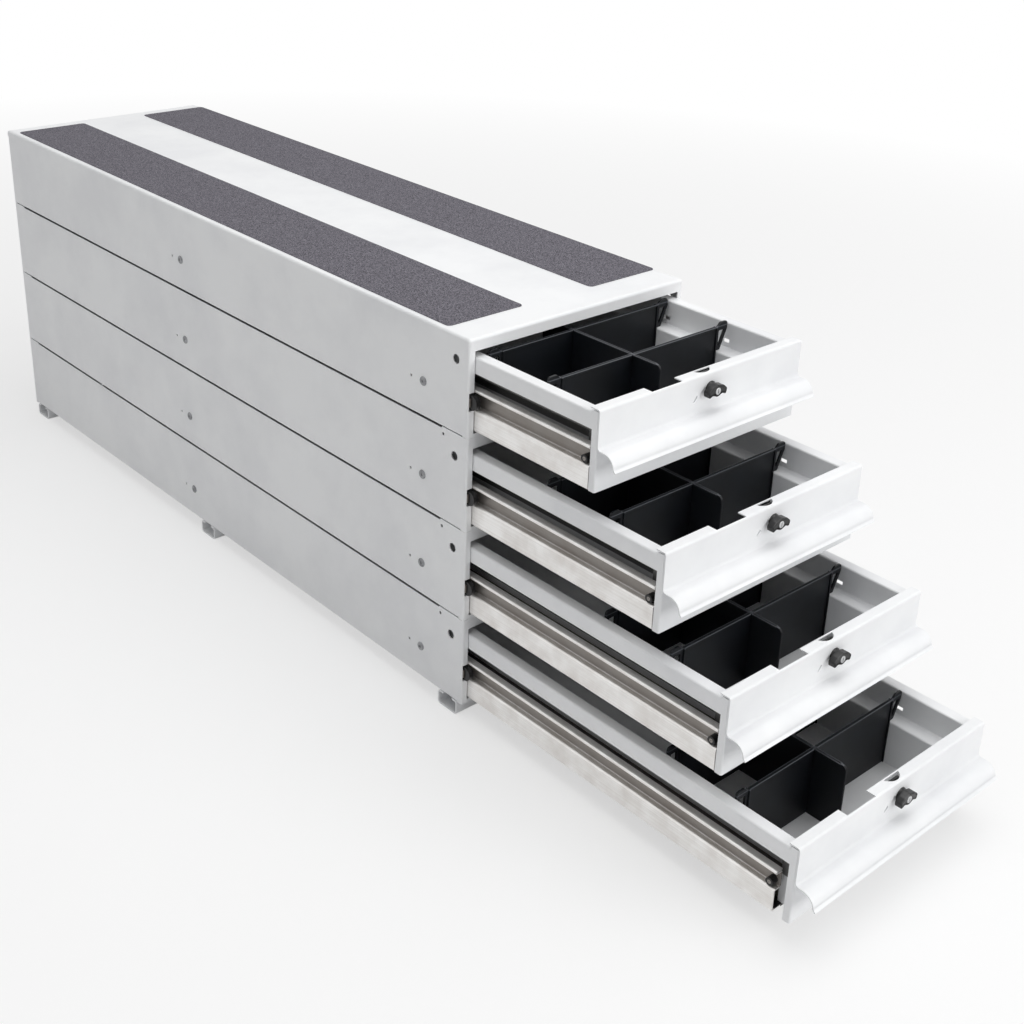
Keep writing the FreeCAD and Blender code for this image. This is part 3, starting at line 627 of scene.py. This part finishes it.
# Repeated small parts: one shape set at many points by a node tree, then turned into a plain mesh
def repeatTree():
    tree = bpy.data.node_groups.new("repeatShape", "GeometryNodeTree")
    face = tree.interface
    face.new_socket("Points", in_out="INPUT", socket_type="NodeSocketGeometry")
    sockets = {
        "shape": face.new_socket("Shape", in_out="INPUT", socket_type="NodeSocketObject"),
        "size": face.new_socket("Size", in_out="INPUT", socket_type="NodeSocketFloat"),
        "turnSpread": face.new_socket("Turn Spread", in_out="INPUT", socket_type="NodeSocketFloat"),
        "seed": face.new_socket("Seed", in_out="INPUT", socket_type="NodeSocketInt"),
        "finish": face.new_socket("Finish", in_out="INPUT", socket_type="NodeSocketMaterial"),
    }
    face.new_socket("Result", in_out="OUTPUT", socket_type="NodeSocketGeometry")
    given = addNode(tree, "NodeGroupInput").outputs
    shape = addNode(tree, "GeometryNodeObjectInfo", None, {"Object": given["Shape"]})
    dots = addNode(tree, "GeometryNodeMeshToPoints", None, {"Mesh": given["Points"]})
    aim = addNode(tree, "GeometryNodeInputNamedAttribute", {"data_type": "FLOAT_VECTOR", "Name": "aim"})
    aimed = {"Vector": aim.outputs["Attribute"]}
    facing = addNode(tree, "FunctionNodeAlignRotationToVector", {"axis": "Z"}, aimed)
    chance = addNode(tree, "FunctionNodeRandomValue", {"data_type": "FLOAT"}, {"Seed": given["Seed"]})
    tree.links.new(given["Turn Spread"], chance.inputs[randomMost])
    spin = addNode(tree, "ShaderNodeCombineXYZ", None, {"Z": chance.outputs[randomValue]})
    turns = {"Rotation": facing.outputs["Rotation"], "Rotate By": spin.outputs["Vector"]}
    spun = addNode(tree, "FunctionNodeRotateRotation", {"rotation_space": "LOCAL"}, turns)
    setting = {
        "Points": dots.outputs["Points"],
        "Instance": shape.outputs["Geometry"],
        "Rotation": spun.outputs["Rotation"],
        "Scale": given["Size"],
    }
    placed = addNode(tree, "GeometryNodeInstanceOnPoints", None, setting)
    real = addNode(tree, "GeometryNodeRealizeInstances", None, {"Geometry": placed.outputs["Instances"]})
    coating = {"Geometry": real.outputs["Geometry"], "Material": given["Finish"]}
    coated = addNode(tree, "GeometryNodeSetMaterial", None, coating)
    addNode(tree, "NodeGroupOutput", None, {"Result": coated.outputs["Geometry"]})
    return tree, {name: socket.identifier for name, socket in sockets.items()}


repeatShape, repeatSockets = repeatTree()


def repeated(name, spots, shape, material, body, look, replaced=()):
    # spots are (place in millimetres, direction that the shape's top faces)
    mesh = bpy.data.meshes.new(name + "Points")
    mesh.from_pydata([[c * millimetre for c in place] for place, aim in spots], [], [])
    aims = mesh.attributes.new("aim", "FLOAT_VECTOR", "POINT")
    for entry, (place, aim) in zip(aims.data, spots):
        entry.vector = aim
    carrier = bpy.data.objects.new(name + "Points", mesh)
    bpy.context.scene.collection.objects.link(carrier)
    modifier = carrier.modifiers.new("repeat", "NODES")
    modifier.node_group = repeatShape
    modifier[repeatSockets["shape"]] = shape
    modifier[repeatSockets["finish"]] = material
    for key in ("size", "turnSpread", "seed"):
        modifier[repeatSockets[key]] = look[key]
    sight = bpy.context.evaluated_depsgraph_get()
    made = bpy.data.meshes.new_from_object(carrier.evaluated_get(sight), depsgraph=sight)
    carrier.modifiers.remove(modifier)
    bpy.data.objects.remove(carrier)
    made.name = name
    placePiece(name, made, material, body, replaced)


# Slide screws: low rounded heads with a cross recess, their shanks in the sides
slideScrew = {
    "head": [(0, 0), (6.0, 0), (6.0, 0.7), (5.5, 1.35), (4.2, 1.75)],
    "arm": (0.55, 2.3),
    "recess": 1.3,
    "shank": [(0, -6.0), (2.0, -6.0), (2.4, -5.6), (2.4, 0)],
    "steps": 32,
    "back": (84.0, 655.0),
    "up": 47.0,
    "side": 182.0,
    "size": 1.0,
    "turnSpread": 1.57,
    "seed": 7,
}


def screwShape(look):
    reach, top = look["head"][-1]
    thin, long = look["arm"]
    quarter = [(thin, long), (thin, thin), (long, thin)]
    cross = quarter + [(u, -v) for u, v in reversed(quarter)]
    cross += [(-u, -v) for u, v in quarter] + [(-u, v) for u, v in reversed(quarter)]
    rim, hole = ([(u, v, top) for u, v in ring] for ring in (circle(reach, look["steps"]), cross))
    bm = bmesh.new()
    lowEdges = sinkHole(bm, rim, hole, (0, 0, -look["recess"]))[1]
    bmesh.ops.triangle_fill(bm, edges=lowEdges, use_beauty=True)
    body = bmesh.new()
    for profile in (look["head"], look["shank"]):
        turned(body, profile, (0, 0, 0), look["steps"])
    takeIn(bm, body, lambda x, y, z: (x, -z, y))
    return bpy.data.objects.new("screwShape", bakeMesh("screwShape", bm))


screwSpots = [
    ((side * slideScrew["side"], carcass["mouth"] + back, tierBase(tier) + slideScrew["up"]), (side, 0, 0))
    for tier in tiers
    for back in slideScrew["back"]
    for side in (-1, 1)
]
screwModel = screwShape(slideScrew)
repeated(
    "slideScrewHeads", screwSpots, screwModel, screwPaint, "cabinet", slideScrew,
    ["slide_screws"],
)

# Bumper buttons: pale rivet heads in the middle of the black bumpers
bumperButton = {"size": 0.42, "turnSpread": 1.57, "seed": 11, "side": 171.15, "back": 20.0, "up": 43.0}
for tier in tiers:
    y = facePlane(tier) + bumperButton["back"] + carcass["lags"][tier - 1]
    z = tierBase(tier) + bumperButton["up"]
    spots = [((side * bumperButton["side"], y, z), (side, 0, 0)) for side in (-1, 1)]
    name = "bumperButtons_%d" % tier
    repeated(name, spots, screwModel, zinc, "slides_%d" % tier, bumperButton)
bpy.data.objects.remove(screwModel)
print("screws and bumper buttons made")

# Floor, backdrop light and camera; the floor is measured in metres
floorPlate = {
    "half": 30.0, "colour": "#f4f4f4", "roughness": 0.9, "glow": (0.55, 1.0), "glowReach": (1.0, 3.2),
}


def sightRay(tree):
    # 1 for what the camera sees directly, mirrored in metal or through glass
    path = addNode(tree, "ShaderNodeLightPath").outputs
    either = mathValue(tree, "MAXIMUM", path["Is Camera Ray"], path["Is Glossy Ray"])
    return mathValue(tree, "MAXIMUM", either, path["Is Transmission Ray"])


def mixShaders(tree, share, plain, other):
    mixed = addNode(tree, "ShaderNodeMixShader", None, {"Fac": share})
    tree.links.new(plain, mixed.inputs[shaderPlain])
    tree.links.new(other, mixed.inputs[shaderOther])
    return mixed.outputs["Shader"]


def floorShare(tree, look):
    # near the unit the floor keeps part of its shadow, farther out it is plain white
    place = addNode(tree, "ShaderNodeTexCoord")
    reach = addNode(tree, "ShaderNodeVectorMath", {"operation": "LENGTH"})
    tree.links.new(place.outputs["Object"], reach.inputs[0])
    fade = mapRange(tree, reach.outputs["Value"], look["glowReach"], look["glow"])
    return mathValue(tree, "MULTIPLY", fade, sightRay(tree))


floorMesh = bpy.data.meshes.new("paleFloor")
floorHalf = floorPlate["half"]
floorCorners = [(x * floorHalf, y * floorHalf, 0) for x, y in ((-1, -1), (1, -1), (1, 1), (-1, 1))]
floorMesh.from_pydata(floorCorners, [], [(0, 1, 2, 3)])
floorObject = bpy.data.objects.new("paleFloor", floorMesh)
bpy.context.scene.collection.objects.link(floorObject)
floorSettings = {"Base Color": srgb(floorPlate["colour"]), "Roughness": floorPlate["roughness"]}
floorLook, floorTree, floorShader = newMaterial("paleFloor", floorSettings)
glow = addNode(floorTree, "ShaderNodeEmission", {"Color": srgb("#ffffff"), "Strength": 1.0})
glowShare = floorShare(floorTree, floorPlate)
floorBlend = mixShaders(floorTree, glowShare, floorShader.outputs["BSDF"], glow.outputs["Emission"])
floorOutput = next(n for n in floorTree.nodes if n.type == "OUTPUT_MATERIAL")
floorTree.links.new(floorBlend, floorOutput.inputs["Surface"])
floorMesh.materials.append(floorLook)

# The world lights the unit dimly, and what is seen of it is white
worldLight = {"ambient": 0.30, "seen": 1.0}
world = bpy.data.worlds.new("studioWorld")
world.use_nodes = True
bpy.context.scene.world = world
worldTree = world.node_tree
worldTree.nodes.clear()
ambient, seen = (
    addNode(worldTree, "ShaderNodeBackground", {"Color": srgb("#ffffff"), "Strength": worldLight[key]})
    for key in ("ambient", "seen")
)
backgrounds = ambient.outputs["Background"], seen.outputs["Background"]
worldBlend = mixShaders(worldTree, sightRay(worldTree), *backgrounds)
addNode(worldTree, "ShaderNodeOutputWorld", None, {"Surface": worldBlend})

softBoxes = {
    "topLight": {"place": (0.4, -0.6, 3.2), "target": (0, -0.3, 0.3), "size": (3.0, 3.6), "power": 66},
    "frontLight": {"place": (1.0, -4.2, 1.8), "target": (0, -0.8, 0.25), "size": (3.0, 2.0), "power": 66},
    "sideLight": {"place": (-3.6, -0.6, 2.6), "target": (0, -0.3, 0.3), "size": (2.6, 1.8), "power": 12},
}


def addSoftBox(name, look):
    lamp = bpy.data.lights.new(name, "AREA")
    lamp.shape = "RECTANGLE"
    lamp.size, lamp.size_y = look["size"]
    lamp.energy = look["power"]
    holder = bpy.data.objects.new(name, lamp)
    holder.location = look["place"]
    holder.rotation_euler = (Vector(look["target"]) - holder.location).to_track_quat("-Z", "Y").to_euler()
    bpy.context.scene.collection.objects.link(holder)


for name, look in softBoxes.items():
    addSoftBox(name, look)

# The photo's camera: angles in degrees, place in metres, focal length and shift in the photo's pixels
photoView = {
    "azimuth": 42.564,
    "elevation": 24.154,
    "roll": 2.100,
    "place": (-1.2142, -1.8102, 1.1465),
    "focal": 1478.0,
    "shift": -100.0,
    "pixels": 1024.0,
    "sensor": 36.0,
}


def viewMatrix(look):
    azimuth, elevation, roll = (math.radians(look[key]) for key in ("azimuth", "elevation", "roll"))
    flat = math.cos(elevation)
    back = Vector((-math.sin(azimuth) * flat, -math.cos(azimuth) * flat, math.sin(elevation)))
    right = (-back).cross(Vector((0, 0, 1))).normalized()
    above = right.cross(-back)
    rolledRight = right * math.cos(roll) + above * math.sin(roll)
    rolledUp = above * math.cos(roll) - right * math.sin(roll)
    turn = Matrix((rolledRight, rolledUp, back)).transposed().to_4x4()
    return Matrix.Translation(Vector(look["place"])) @ turn


cameraData = bpy.data.cameras.new("photoCamera")
camera = bpy.data.objects.new("photoCamera", cameraData)
bpy.context.scene.collection.objects.link(camera)
bpy.context.scene.camera = camera
camera.matrix_world = viewMatrix(photoView)
cameraData.sensor_width = photoView["sensor"]
cameraData.lens = photoView["focal"] / photoView["pixels"] * photoView["sensor"]
cameraData.shift_y = photoView["shift"] / photoView["pixels"]
bpy.context.scene.view_settings.view_transform = "Standard"
bpy.context.scene.view_settings.look = "None"
print("stage, lights and camera set")
